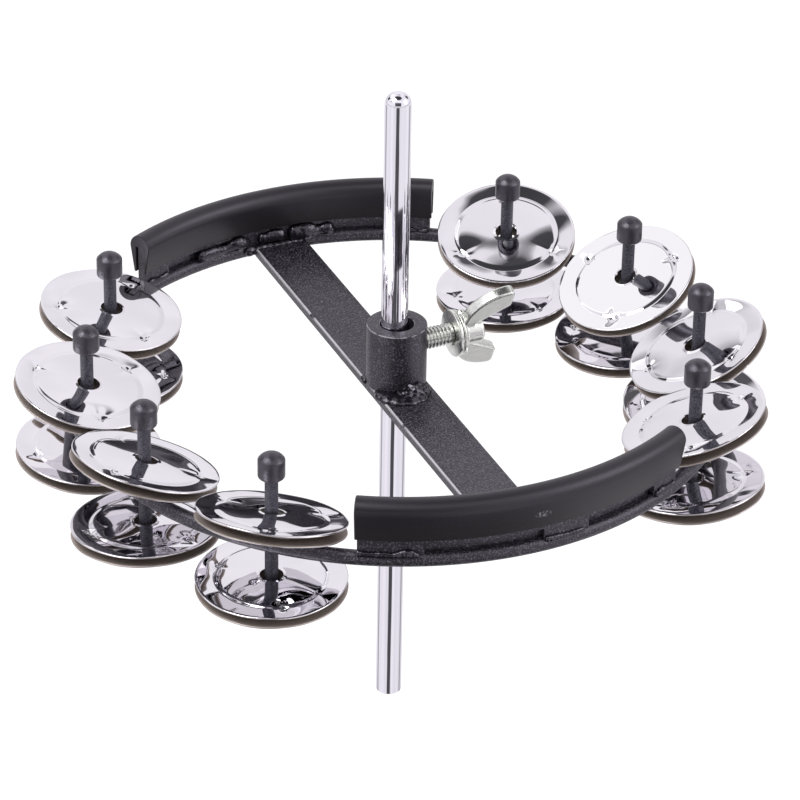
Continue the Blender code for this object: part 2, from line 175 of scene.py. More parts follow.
def draw_outline(name, points):
    """A plane merged to one vertex is extruded from point to point. The new piece
    stays in edit mode with the whole outline selected."""
    fresh_start()
    bpy.ops.mesh.primitive_plane_add(size=MM, location=(0.0, 0.0, 0.0))
    piece = bpy.context.object
    piece.name = name
    piece.data.name = name
    bpy.ops.object.mode_set(mode="EDIT")
    bpy.ops.mesh.select_mode(type="VERT")
    bpy.ops.mesh.merge(type="CENTER")
    bpy.ops.transform.translate(value=points[0])
    for start, end in zip(points, points[1:]):
        step = Vector(end) - Vector(start)
        bpy.ops.mesh.extrude_vertices_move(TRANSFORM_OT_translate={"value": step})
    bpy.ops.mesh.select_all(action="SELECT")
    bpy.ops.mesh.remove_doubles(threshold=MERGE)
    return piece


def close_skin(smooth_angle=radians(30)):
    """Weld the seams of the piece in edit mode, face it outwards and smooth it."""
    bpy.ops.mesh.select_all(action="SELECT")
    bpy.ops.mesh.remove_doubles(threshold=MERGE)
    bpy.ops.mesh.normals_make_consistent(inside=False)
    bpy.ops.object.mode_set(mode="OBJECT")
    bpy.ops.object.shade_smooth_by_angle(angle=smooth_angle)


def turned(name, profile, sides, smooth_angle=radians(30)):
    """Spin an outline of (radius, height) points once round the Z axis."""
    piece = draw_outline(name, [(radius, 0.0, height) for radius, height in profile])
    bpy.ops.mesh.spin(steps=sides, angle=2 * pi, center=(0.0, 0.0, 0.0), axis=(0.0, 0.0, 1.0))
    close_skin(smooth_angle)
    return piece


def swept(name, section, radius, start, end, steps, smooth_angle=radians(30)):
    """Spin a closed section of (offset, height) points about the Z axis, from one
    angle to another."""
    points = [
        (cos(start) * (radius + offset), sin(start) * (radius + offset), height) for offset, height in section
    ]
    piece = draw_outline(name, points + points[:1])
    bpy.ops.mesh.edge_face_add()
    bpy.ops.mesh.spin(steps=steps, angle=start - end, center=(0.0, 0.0, 0.0), axis=(0.0, 0.0, 1.0))
    close_skin(smooth_angle)
    return piece


def arc(centre, radius, start, end, steps):
    angles = np.linspace(start, end, steps + 1)
    return [(centre[0] + radius * cos(angle), centre[1] + radius * sin(angle)) for angle in angles]


def settle(piece, matrix):
    """Put a piece's place into its mesh, with its object left at the origin."""
    pick(piece)
    piece.matrix_world = matrix
    bpy.ops.object.transform_apply(location=True, rotation=True, scale=True)


def use_modifier(piece, kind, **settings):
    modifier = piece.modifiers.new(kind, kind)
    for name, value in settings.items():
        setattr(modifier, name, value)
    pick(piece)
    bpy.ops.object.modifier_apply(modifier=modifier.name)


def join(pieces, name):
    pick(*pieces)
    bpy.ops.object.join()
    piece = bpy.context.object
    piece.name = name
    piece.data.name = name
    return piece


def copy_of(piece, name):
    twin = bpy.data.objects.new(name, piece.data.copy())
    bpy.context.scene.collection.objects.link(twin)
    return twin


def drop(piece):
    bpy.data.objects.remove(piece)


def hand_over(piece, material, body, slot, *nodes):
    """Give a finished piece its material, its body and the nodes it stands for."""
    piece.data.materials.clear()
    piece.data.materials.append(material)
    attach(piece, body)
    if nodes:
        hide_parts(*nodes)


def at(x, y, z):
    return Matrix.Translation((x, y, z))


# Materials


def add_node(tree, kind, settings, links=()):
    """Add a node, give its inputs or options their values, and link its inputs."""
    node = tree.nodes.new(kind)
    for name, value in settings.items():
        if isinstance(name, int) or name in node.inputs:
            node.inputs[name].default_value = value
        else:
            setattr(node, name, value)
    for name, output in links:
        tree.links.new(output, node.inputs[name])
    return node


def new_material(name, colour, roughness, metallic):
    """A Principled material, its node tree and its surface shader."""
    material = bpy.data.materials.new(name)
    material.use_nodes = True
    shader = material.node_tree.nodes["Principled BSDF"]
    shader.inputs["Base Color"].default_value = (*colour, 1.0)
    shader.inputs["Roughness"].default_value = roughness
    shader.inputs["Metallic"].default_value = metallic
    return material, material.node_tree, shader


def object_coordinates(tree):
    return add_node(tree, "ShaderNodeTexCoord", {}).outputs["Object"]


def chrome_plated_steel():
    """Chromium plating on drawn steel: a bright mirror whose reflections break up
    into thin upright lines along the drawing marks."""
    material, tree, shader = new_material("chrome_plated_steel", colours().chrome, 0.05, 1.0)
    stretched = add_node(
        tree,
        "ShaderNodeMapping",
        {"Scale": (1 / (0.4 * MM), 1 / (0.4 * MM), 1 / (25 * MM))},
        [("Vector", object_coordinates(tree))],
    )
    drawing_marks = add_node(
        tree,
        "ShaderNodeTexNoise",
        {"Scale": 1.0, "Detail": 2.0},
        [("Vector", stretched.outputs["Vector"])],
    )
    relief = add_node(tree, "ShaderNodeBump", {"Distance": 0.01 * MM}, [("Height", drawing_marks.outputs["Fac"])])
    tree.links.new(relief.outputs["Normal"], shader.inputs["Normal"])
    return material


def baked_black_powder(name="baked_black_powder"):
    """Satin black powder baked on steel: grainy like fine sandpaper, with a cool
    sheen on what faces up. The grains are drawn coarser than they are, to show."""
    material, tree, shader = new_material(name, colours().coat, 0.37, 0.0)
    shader.inputs["Specular IOR Level"].default_value = 0.85
    shader.inputs["Specular Tint"].default_value = (0.92, 0.85, 1.0, 1.0)
    coordinates = object_coordinates(tree)
    grain = add_node(
        tree, "ShaderNodeTexNoise", {"Scale": 1 / (0.42 * MM), "Detail": 2.0}, [("Vector", coordinates)]
    )
    relief = add_node(tree, "ShaderNodeBump", {"Distance": 0.1 * MM}, [("Height", grain.outputs["Fac"])])
    tree.links.new(relief.outputs["Normal"], shader.inputs["Normal"])
    raised = add_node(
        tree,
        "ShaderNodeMapRange",
        {"From Min": 0.5, "From Max": 0.72},
        [("Value", grain.outputs["Fac"])],
    )
    shade = add_node(
        tree,
        "ShaderNodeMix",
        {"data_type": "RGBA", 6: (*colours().coat, 1.0), 7: (*colours().speck, 1.0)},
        [(0, raised.outputs["Result"])],
    )
    tree.links.new(shade.outputs[2], shader.inputs["Base Color"])
    return material


def wear_off(material, worn_and_lit):
    """Lay the pale edge colour over a coated material where a mask says: bare steel where the coat is gone, and a
    painted highlight on the edge.
    """
    tree = material.node_tree
    shader = tree.nodes["Principled BSDF"]
    coat = shader.inputs["Base Color"].links[0].from_socket
    shade = add_node(
        tree,
        "ShaderNodeMix",
        {"data_type": "RGBA", 7: (*colours().bare_steel, 1.0)},
        [(0, worn_and_lit), (6, coat)],
    )
    tree.links.new(shade.outputs[2], shader.inputs["Base Color"])


def worn_patches(tree, coordinates, width, share):
    """Irregular patches of a given width that cover about a given share."""
    patches = add_node(
        tree, "ShaderNodeTexNoise", {"Scale": 1 / width, "Detail": 3.0}, [("Vector", coordinates)]
    )
    return add_node(
        tree,
        "ShaderNodeMapRange",
        {"From Min": 0.62 - 0.4 * share, "From Max": 0.68 - 0.4 * share},
        [("Value", patches.outputs["Fac"])],
    ).outputs["Result"]


def coated_bar_steel():
    """Powder coat on a sheared bar, with a pale broken line along the sharp upper edge on one side: partly bright
    steel where the coat wore through, partly a painted highlight on that edge."""
    material = baked_black_powder("coated_bar_steel")
    tree = material.node_tree
    placed = add_node(
        tree,
        "ShaderNodeMapping",
        {"vector_type": "TEXTURE", "Location": RING_CENTRE, "Rotation": (0.0, 0.0, BAR_TURN)},
        [("Vector", object_coordinates(tree))],
    )
    place = add_node(tree, "ShaderNodeSeparateXYZ", {}, [("Vector", placed.outputs["Vector"])])
    # The pale line along this one upper edge is partly wear and partly a painted highlight, broken into patches.
    half_width = sizes().bar_width / 2
    across = add_node(
        tree,
        "ShaderNodeMapRange",
        {"From Min": 0.62 * MM - half_width, "From Max": 0.45 * MM - half_width},
        [("Value", place.outputs["X"])],
    )
    up = add_node(
        tree,
        "ShaderNodeMapRange",
        {"From Min": 0.5 * box_size("cross_bar").z - 0.5 * MM, "From Max": 0.5 * box_size("cross_bar").z},
        [("Value", place.outputs["Z"])],
    )
    edge = add_node(
        tree,
        "ShaderNodeMath",
        {"operation": "MULTIPLY"},
        [(0, across.outputs["Result"]), (1, up.outputs["Result"])],
    )
    patches = worn_patches(tree, placed.outputs["Vector"], 9 * MM, 0.75)
    worn_and_lit = add_node(
        tree, "ShaderNodeMath", {"operation": "MULTIPLY"}, [(0, edge.outputs["Value"]), (1, patches)]
    )
    wear_off(material, worn_and_lit.outputs["Value"])
    return material


def coated_collar_steel():
    """Powder coat on a turned collar, with a faint pale broken line round its rim: a painted highlight on the rim's
    edge, partly rubbed coat.
    """
    material = baked_black_powder("coated_collar_steel")
    tree = material.node_tree
    coordinates = object_coordinates(tree)
    place = add_node(tree, "ShaderNodeSeparateXYZ", {}, [("Vector", coordinates)])
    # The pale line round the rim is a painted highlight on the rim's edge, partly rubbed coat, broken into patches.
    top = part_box("rod_collar")[1][2]
    up = add_node(
        tree,
        "ShaderNodeMapRange",
        {"From Min": top - 0.34 * MM, "From Max": top - 0.24 * MM},
        [("Value", place.outputs["Z"])],
    )
    flat = add_node(
        tree,
        "ShaderNodeMapRange",
        {"From Min": top - 0.02 * MM, "From Max": top - 0.08 * MM},
        [("Value", place.outputs["Z"])],
    )
    rim = add_node(
        tree,
        "ShaderNodeMath",
        {"operation": "MULTIPLY"},
        [(0, up.outputs["Result"]), (1, flat.outputs["Result"])],
    )
    patches = worn_patches(tree, coordinates, 2.5 * MM, 0.45)
    worn_and_lit = add_node(
        tree, "ShaderNodeMath", {"operation": "MULTIPLY"}, [(0, rim.outputs["Value"]), (1, patches)]
    )
    faint = add_node(tree, "ShaderNodeMath", {"operation": "MULTIPLY", 1: 0.55}, [(0, worn_and_lit.outputs["Value"])])
    wear_off(material, faint.outputs["Value"])
    return material


def weld_metal():
    """Weld metal under the coat: smooth, molten and glossier than the powder."""
    material, tree, shader = new_material("weld_metal", colours().coat, 0.2, 0.0)
    shader.inputs["Specular IOR Level"].default_value = 0.9
    shader.inputs["Specular Tint"].default_value = (0.92, 0.85, 1.0, 1.0)
    ripples = add_node(
        tree,
        "ShaderNodeTexNoise",
        {"Scale": 1 / (0.9 * MM), "Detail": 2.0},
        [("Vector", object_coordinates(tree))],
    )
    relief = add_node(tree, "ShaderNodeBump", {"Distance": 0.07 * MM}, [("Height", ripples.outputs["Fac"])])
    tree.links.new(relief.outputs["Normal"], shader.inputs["Normal"])
    return material


def moulded_rubber():
    """Black rubber moulded in one strip: a dark satin skin with a fine grain, a lighter, warmer colour low on its
    sides that is a painted highlight, and a few grey rubs."""
    material, tree, shader = new_material("moulded_rubber", colours().rubber, 0.4, 0.0)
    shader.inputs["Specular IOR Level"].default_value = 0.75
    shader.inputs["Specular Tint"].default_value = (0.94, 0.87, 1.0, 1.0)
    coordinates = object_coordinates(tree)
    grain = add_node(
        tree, "ShaderNodeTexNoise", {"Scale": 1 / (0.4 * MM), "Detail": 3.0}, [("Vector", coordinates)]
    )
    relief = add_node(tree, "ShaderNodeBump", {"Distance": 0.035 * MM}, [("Height", grain.outputs["Fac"])])
    tree.links.new(relief.outputs["Normal"], shader.inputs["Normal"])
    place = add_node(tree, "ShaderNodeSeparateXYZ", {}, [("Vector", coordinates)])
    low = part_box("front_beater_pad")[0][2]
    # Lighter and warmer towards the foot of each side: a painted highlight.
    foot = add_node(
        tree,
        "ShaderNodeMapRange",
        {"From Min": low + 6.5 * MM, "From Max": low + 1.0 * MM},
        [("Value", place.outputs["Z"])],
    )
    foot_highlight = tuple(1.7 * c for c in linear("151213"))
    tone = add_node(
        tree,
        "ShaderNodeMix",
        {"data_type": "RGBA", 6: (*colours().rubber, 1.0), 7: (*foot_highlight, 1.0)},
        [(0, foot.outputs["Result"])],
    )
    centred = add_node(
        tree,
        "ShaderNodeMapping",
        {"vector_type": "TEXTURE", "Location": SCUFF_PLACE, "Scale": (2.3 * MM, 2.3 * MM, 1.0 * MM)},
        [("Vector", coordinates)],
    )
    distance = add_node(
        tree, "ShaderNodeVectorMath", {"operation": "LENGTH"}, [("Vector", centred.outputs["Vector"])]
    )
    near = add_node(
        tree,
        "ShaderNodeMapRange",
        {"From Min": 1.1, "From Max": 0.7},
        [("Value", distance.outputs["Value"])],
    )
    patches = worn_patches(tree, coordinates, 0.6 * MM, 0.35)
    rubbed = add_node(
        tree, "ShaderNodeMath", {"operation": "MULTIPLY"}, [(0, near.outputs["Result"]), (1, patches)]
    )
    shade = add_node(
        tree,
        "ShaderNodeMix",
        {"data_type": "RGBA", 7: (*colours().scuff, 1.0)},
        [(0, rubbed.outputs["Value"]), (6, tone.outputs[2])],
    )
    tree.links.new(shade.outputs[2], shader.inputs["Base Color"])
    return material


def zinc_plated_steel():
    """Bright zinc plating on forged steel: a soft, slightly cloudy shine."""
    material, tree, shader = new_material("zinc_plated_steel", colours().zinc, 0.22, 1.0)
    cloud = add_node(
        tree,
        "ShaderNodeTexNoise",
        {"Scale": 1 / (1.5 * MM), "Detail": 3.0},
        [("Vector", object_coordinates(tree))],
    )
    haze = add_node(
        tree,
        "ShaderNodeMapRange",
        {"To Min": 0.14, "To Max": 0.34},
        [("Value", cloud.outputs["Fac"])],
    )
    tree.links.new(haze.outputs["Result"], shader.inputs["Roughness"])
    relief = add_node(tree, "ShaderNodeBump", {"Distance": 0.02 * MM}, [("Height", cloud.outputs["Fac"])])
    tree.links.new(relief.outputs["Normal"], shader.inputs["Normal"])
    return material


def polished_nickel_plating():
    """Polished nickel on stamped sheet steel: a mirror with a cool, faintly lilac
    tone, whose reflections waver where the sheet was pressed."""
    material, tree, shader = new_material("polished_nickel_plating", colours().nickel, 0.03, 1.0)
    press_waves = add_node(
        tree,
        "ShaderNodeTexNoise",
        {"Scale": 1 / (7 * MM), "Detail": 0.0},
        [("Vector", object_coordinates(tree))],
    )
    relief = add_node(tree, "ShaderNodeBump", {"Distance": 0.08 * MM}, [("Height", press_waves.outputs["Fac"])])
    tree.links.new(relief.outputs["Normal"], shader.inputs["Normal"])
    return material


def dull_nickel_and_painted_shade():
    """The back of the nickel sheet, which was never polished: a brownish, blurred shine that goes dark between two
    discs; its darker, browner colour is partly painted shade for the gap between them."""
    material, tree, shader = new_material("dull_nickel_and_painted_shade", colours().dull_nickel_and_painted_shade, 0.38, 0.6)
    stain = add_node(
        tree,
        "ShaderNodeTexNoise",
        {"Scale": 1 / (4 * MM), "Detail": 3.0},
        [("Vector", object_coordinates(tree))],
    )
    haze = add_node(
        tree,
        "ShaderNodeMapRange",
        {"To Min": 0.28, "To Max": 0.5},
        [("Value", stain.outputs["Fac"])],
    )
    tree.links.new(haze.outputs["Result"], shader.inputs["Roughness"])
    return material


def blackened_steel():
    """Steel blackened in oil: dark grey, rough and granular."""
    material, tree, shader = new_material("blackened_steel", colours().pin, 0.42, 0.35)
    coordinates = object_coordinates(tree)
    mottle = add_node(
        tree, "ShaderNodeTexNoise", {"Scale": 1 / (0.35 * MM), "Detail": 3.0}, [("Vector", coordinates)]
    )
    relief = add_node(tree, "ShaderNodeBump", {"Distance": 0.22 * MM}, [("Height", mottle.outputs["Fac"])])
    tree.links.new(relief.outputs["Normal"], shader.inputs["Normal"])
    spread = add_node(
        tree, "ShaderNodeMapRange", {"From Min": 0.34, "From Max": 0.7}, [("Value", mottle.outputs["Fac"])]
    )
    tone = add_node(
        tree,
        "ShaderNodeMix",
        {
            "data_type": "RGBA",
            6: (*(0.5 * c for c in colours().pin), 1.0),
            7: (*(3.6 * c for c in colours().pin), 1.0),
        },
        [(0, spread.outputs["Result"])],
    )
    tree.links.new(tone.outputs[2], shader.inputs["Base Color"])
    return material


def dipped_vinyl():
    """Black vinyl dipped over the pin's end: satin, a little uneven."""
    material, tree, shader = new_material("dipped_vinyl", colours().cap, 0.33, 0.0)
    shader.inputs["Specular IOR Level"].default_value = 1.0
    shader.inputs["Specular Tint"].default_value = (0.93, 0.87, 1.0, 1.0)
    mottle = add_node(
        tree,
        "ShaderNodeTexNoise",
        {"Scale": 1 / (0.9 * MM), "Detail": 3.0},
        [("Vector", object_coordinates(tree))],
    )
    relief = add_node(tree, "ShaderNodeBump", {"Distance": 0.11 * MM}, [("Height", mottle.outputs["Fac"])])
    tree.links.new(relief.outputs["Normal"], shader.inputs["Normal"])
    return material


def white_paper():
    """Seamless white studio paper. The camera sees it a little lighter, so that it
    reads as white while the object's shadow stays."""
    material, tree, shader = new_material("white_paper", colours().floor, 0.9, 0.0)
    rays = add_node(tree, "ShaderNodeLightPath", {})
    lift = add_node(
        tree,
        "ShaderNodeMath",
        {"operation": "MULTIPLY", 1: 0.24},
        [(0, rays.outputs["Is Camera Ray"])],
    )
    shader.inputs["Emission Color"].default_value = (1.0, 1.0, 1.0, 1.0)
    tree.links.new(lift.outputs["Value"], shader.inputs["Emission Strength"])
    return material


def shared_material(make):
    """The material that a function makes, made once for all the pieces that use it."""
    return bpy.data.materials.get(make.__name__) or make()


# Pieces


class TAMBOURINE_OT_pull_rod(bpy.types.Operator):
    """Turn the chromed pull rod, with its rounded top"""

    bl_idname = "tambourine.pull_rod"
    bl_label = "Pull rod"

    def execute(self, context):
        radius = box_size("pull_rod").x / 2
        height = box_size("pull_rod").z
        crown_round = 3.1 * MM
        foot_edge = 0.2 * MM
        crown = arc((radius - crown_round, height - crown_round), crown_round, 0.0, pi / 2, 10)
        profile = [(0.0, 0.0), (radius - foot_edge, 0.0), (radius, foot_edge), *crown, (0.0, height)]
        rod = turned("pull_rod_chromed", profile, 96)
        hand_over(rod, shared_material(chrome_plated_steel), "rod", "chromed_rod", "pull_rod")
        return {"FINISHED"}


class TAMBOURINE_OT_ring(bpy.types.Operator):
    """Bend the ring from round rod"""

    bl_idname = "tambourine.ring"
    bl_label = "Ring"

    def execute(self, context):
        wire_radius = sizes().ring_wire / 2
        fresh_start()
        bpy.ops.mesh.primitive_torus_add(
            major_radius=box_size("ring").x / 2 - wire_radius,
            minor_radius=wire_radius,
            major_segments=288,
            minor_segments=28,
        )
        ring = bpy.context.object
        ring.name = "ring_bent_rod"
        settle(ring, Matrix.Translation(RING_CENTRE))
        bpy.ops.object.shade_smooth()
        hand_over(ring, shared_material(baked_black_powder), "frame", "black_powder_coat", "ring")
        return {"FINISHED"}


class TAMBOURINE_OT_cross_bar(bpy.types.Operator):
    """Cut the flat cross bar, with its hole for the pull rod"""

    bl_idname = "tambourine.cross_bar"
    bl_label = "Cross bar"

    def execute(self, context):
        reach = box_size("cross_bar").y / 2
        half_turn = asin(sizes().bar_width / 2 / reach)
        thickness = box_size("cross_bar").z
        ends = [
            arc((0.0, 0.0), reach, middle - half_turn, middle + half_turn, 8) for middle in (pi / 2, -pi / 2)
        ]
        points = [(x, y, -thickness / 2) for end in ends for x, y in end]
        bar = draw_outline("cross_bar_flat", points + points[:1])
        bpy.ops.mesh.edge_face_add()
        bpy.ops.mesh.extrude_region_move(TRANSFORM_OT_translate={"value": (0.0, 0.0, thickness)})
        close_skin()
        bore = sizes().collar_bore / 2
        drill = turned("drill", [(0.0, -thickness), (bore, -thickness), (bore, thickness), (0.0, thickness)], 48)
        use_modifier(bar, "BOOLEAN", operation="DIFFERENCE", solver="EXACT", object=drill)
        drop(drill)
        use_modifier(bar, "BEVEL", width=sizes().bar_edge, segments=3, limit_method="ANGLE", harden_normals=False)
        bpy.ops.object.shade_smooth_by_angle(angle=radians(30))
        settle(bar, Matrix.Translation(RING_CENTRE) @ Matrix.Rotation(BAR_TURN, 4, "Z"))
        hand_over(bar, shared_material(coated_bar_steel), "frame", "black_powder_coat", "cross_bar")
        return {"FINISHED"}


class TAMBOURINE_OT_collar(bpy.types.Operator):
    """Turn the collar and tap its hole for the wing bolt"""

    bl_idname = "tambourine.collar"
    bl_label = "Collar"

    def execute(self, context):
        outer = sizes().collar_diameter / 2
        inner = sizes().collar_bore / 2
        low, high = (corner[2] - RING_CENTRE.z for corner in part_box("rod_collar"))
        edge = 0.35 * MM
        profile = [
            (inner, low),
            (outer, low),
            *arc((outer - edge, high - edge), edge, 0.0, pi / 2, 4),
            *arc((inner + edge, high - edge), edge, pi / 2, pi, 4),
            (inner, low),
        ]
        collar = turned("rod_collar_turned", profile, 96)
        tap_radius = sizes().thread_diameter / 2 + 0.15 * MM
        tap = turned("tap", [(0.0, 0.0), (tap_radius, 0.0), (tap_radius, 2 * outer), (0.0, 2 * outer)], 48)
        settle(tap, at(0.0, 0.0, BOLT_AXIS.z - RING_CENTRE.z) @ Matrix.Rotation(pi / 2, 4, "Y"))
        use_modifier(collar, "BOOLEAN", operation="DIFFERENCE", solver="EXACT", object=tap)
        drop(tap)
        bpy.ops.object.shade_smooth_by_angle(angle=radians(30))
        settle(collar, Matrix.Translation(RING_CENTRE))
        hand_over(collar, shared_material(coated_collar_steel), "frame", "black_powder_coat", "rod_collar")
        return {"FINISHED"}


def wing_outline(side, foot, hub_end):
    """Outline of one wing in the plane of (across, along the bolt): it bows out from
    the flange, stands on past the hub and has a narrow, rounded tip."""
    reach = 15.5 * MM
    bow = 11.3 * MM
    tip_width = 6.3 * MM
    tip_round = 1.3 * MM
    lean = radians(32)
    tip = hub_end + 6.5 * MM - tip_round
    inner = reach - tip_width + tip_round
    outside = arc((reach - bow, tip), bow, -pi / 2, 0.0, 20)
    points = [
        (0.0, foot),
        (outside[0][0], foot),
        *outside[1:],
        *arc((reach - tip_round, tip), tip_round, 0.0, pi / 2, 6)[1:],
        *arc((inner, tip), tip_round, pi / 2, pi - lean, 5),
    ]
    across, up = points[-1]
    points.append((0.0, up - across / tan(lean)))
    return [(side * u, w) for u, w in points]


class TAMBOURINE_OT_wing_bolt(bpy.types.Operator):
    """Cut the bolt's thread, press its washer and forge its wings"""

    bl_idname = "tambourine.wing_bolt"
    bl_label = "Wing bolt and washer"

    # Small lumps of metal that the forging left beside the wings, in millimetres:
    # across, sideways, along from the end of the hub, and the radius.
    LUMPS = ((5.1, -2.2, -5.7, 1.3), (-3.1, 3.9, -5.3, 1.2))

    def execute(self, context):
        washer_low, washer_high = (corner[0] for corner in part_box("bolt_washer"))
        bolt_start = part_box("wing_bolt")[0][0]
        crest = sizes().thread_diameter / 2
        gap = 0.3 * MM

        thread, shank = self.cut_thread(washer_low - bolt_start)
        head = self.forge_head(shank, washer_high + gap - bolt_start)
        bolt = join([head, thread], "wing_bolt_forged")
        along_bolt = (
            Matrix.Translation((bolt_start, BOLT_AXIS.y, BOLT_AXIS.z))
            @ Matrix.Rotation(pi / 2, 4, "Y")
            @ Matrix.Rotation(pi + radians(26), 4, "Z")
        )
        settle(bolt, along_bolt)
        hand_over(bolt, shared_material(zinc_plated_steel), "wing_bolt", "zinc_bolt", "wing_bolt")

        washer_radius = box_size("bolt_washer").z / 2
        edge = 0.2 * MM
        thickness = washer_high - washer_low
        hole = crest + gap
        washer_profile = [
            (hole, 0.0),
            *arc((washer_radius - edge, edge), edge, -pi / 2, 0.0, 3),
            *arc((washer_radius - edge, thickness - edge), edge, 0.0, pi / 2, 3),
            (hole, thickness),
            (hole, 0.0),
        ]
        washer = turned("bolt_washer_pressed", washer_profile, 72)
        along_bolt = Matrix.Translation((washer_low, BOLT_AXIS.y, BOLT_AXIS.z))
        settle(washer, along_bolt @ Matrix.Rotation(pi / 2, 4, "Y"))
        hand_over(washer, shared_material(zinc_plated_steel), "washer", "zinc_washer", "bolt_washer")
        return {"FINISHED"}

    def cut_thread(self, length):
        """The thread up to a length, by winding one tooth along the bolt."""
        crest = sizes().thread_diameter / 2
        root = crest - 0.45 * MM
        pitch = sizes().thread_pitch
        turns = int(length / pitch)
        tooth = [
            (root, 0.0),
            (root, 0.15 * pitch),
            (crest, 0.5 * pitch),
            (crest, 0.6 * pitch),
            (root, pitch),
        ]
        thread = draw_outline("thread", [(radius, 0.0, height) for radius, height in tooth])
        bpy.ops.object.mode_set(mode="OBJECT")
        use_modifier(
            thread,
            "SCREW",
            screw_offset=pitch,
            iterations=turns,
            steps=36,
            render_steps=36,
            use_merge_vertices=True,
            merge_threshold=MERGE,
        )
        bpy.ops.object.mode_set(mode="EDIT")
        bpy.ops.mesh.select_all(action="DESELECT")
        bpy.ops.mesh.select_non_manifold()
        bpy.ops.mesh.extrude_edges_move(TRANSFORM_OT_translate={"value": (0.0, 0.0, 0.0)})
        bpy.ops.transform.resize(value=(0.0, 0.0, 1.0), center_override=(0.0, 0.0, 0.0))
        close_skin(radians(20))
        return thread, turns * pitch

    def forge_head(self, shank, flange_low):
        """The flange, the hub and the two wings, in one forging."""
        crest = sizes().thread_diameter / 2
        flange_radius = sizes().flange_diameter / 2
        flange_high = flange_low + 0.8 * MM
        hub_radius = sizes().hub_diameter / 2
        hub_end = flange_high + 6.2 * MM
        shoulder = 1.3 * MM
        body_profile = [
            (0.0, shank - sizes().thread_pitch),
            (crest - 0.2 * MM, shank - sizes().thread_pitch),
            (crest - 0.2 * MM, flange_low),
            *arc((flange_radius - 0.2 * MM, flange_low + 0.2 * MM), 0.2 * MM, -pi / 2, 0.0, 3),
            *arc((flange_radius - 0.3 * MM, flange_high - 0.3 * MM), 0.3 * MM, 0.0, pi / 2, 3),
            (hub_radius + shoulder, flange_high),
            (hub_radius + 0.4 * shoulder, flange_high + 0.35 * shoulder),
            (hub_radius, flange_high + shoulder),
            *arc((hub_radius - 0.8 * MM, hub_end - 0.8 * MM), 0.8 * MM, 0.0, pi / 2, 5),
            (0.0, hub_end),
        ]
        head = turned("bolt_head", body_profile, 60)
        thickness = sizes().wing_thickness
        shapes = [head]
        for side in (1, -1):
            outline = [(u, -thickness / 2, w) for u, w in wing_outline(side, flange_low + 0.4 * MM, hub_end)]
            wing = draw_outline("wing", outline + outline[:1])
            bpy.ops.mesh.edge_face_add()
            bpy.ops.mesh.extrude_region_move(TRANSFORM_OT_translate={"value": (0.0, thickness, 0.0)})
            close_skin()
            use_modifier(
                wing, "BEVEL", width=0.5 * MM, segments=4, limit_method="ANGLE", angle_limit=radians(50)
            )
            shapes.append(wing)
        for u, y, w, radius in self.LUMPS:
            fresh_start()
            place = (u * MM, y * MM, hub_end + w * MM)
            bpy.ops.mesh.primitive_uv_sphere_add(
                segments=24, ring_count=14, radius=radius * MM, location=place
            )
            lump = bpy.context.object
            bpy.ops.object.transform_apply(location=True, rotation=False, scale=False)
            shapes.append(lump)
        forging = join(shapes, "bolt_head")
        use_modifier(forging, "REMESH", mode="VOXEL", voxel_size=0.2 * MM)
        use_modifier(forging, "SMOOTH", factor=0.5, iterations=4)
        pick(forging)
        bpy.ops.object.shade_smooth()
        return forging


def pad_middle(side):
    return -pi / 2 if side == "front" else pi / 2


class TAMBOURINE_OT_pad_rails(bpy.types.Operator):
    """Roll the blades that stand on the ring under the pads"""

    bl_idname = "tambourine.pad_rails"
    bl_label = "Pad rails"

    # Where each blade is cut back above the ring, in degrees round it.
    SLOTS = {"front": ((-109.6, -89.2), (-80.6, -65.7)), "back": ((96.5, 113.7), (67.0, 82.0))}

    def execute(self, context):
        radius = box_size("ring").x / 2 - sizes().ring_wire / 2
        half = sizes().blade_thickness / 2
        for side, slots in self.SLOTS.items():
            node = f"{side}_pad_rail"
            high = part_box(node)[1][2] - RING_CENTRE.z
            low = 0.7 * sizes().ring_wire / 2
            half_angle = asin(box_size(node).x / 2 / (radius + half))
            middle = pad_middle(side)
            edge = 0.25 * MM
            section = [
                (half, low),
                *arc((half - edge, high - edge), edge, 0.0, pi / 2, 3),
                *arc((edge - half, high - edge), edge, pi / 2, pi, 3),
                (-half, low),
            ]
            rail = swept(
                f"{side}_pad_rail_rolled", section, radius, middle - half_angle, middle + half_angle, 96
            )
            seen = 1 if side == "front" else -1
            top = sizes().ring_wire / 2 + 2.9 * MM
            for first, last in slots:
                opening = [(2 * half, top), (2 * half, -half), (-0.6 * half, -half), (-0.6 * half, top)]
                opening = [(seen * across, height) for across, height in opening]
                cutter = swept("slot", opening, radius, radians(first), radians(last), 24)
                use_modifier(rail, "BOOLEAN", operation="DIFFERENCE", solver="EXACT", object=cutter)
                drop(cutter)
            pick(rail)
            bpy.ops.object.shade_smooth_by_angle(angle=radians(30))
            settle(rail, Matrix.Translation(RING_CENTRE))
            hand_over(rail, shared_material(baked_black_powder), "frame", "black_powder_coat", node)
        return {"FINISHED"}


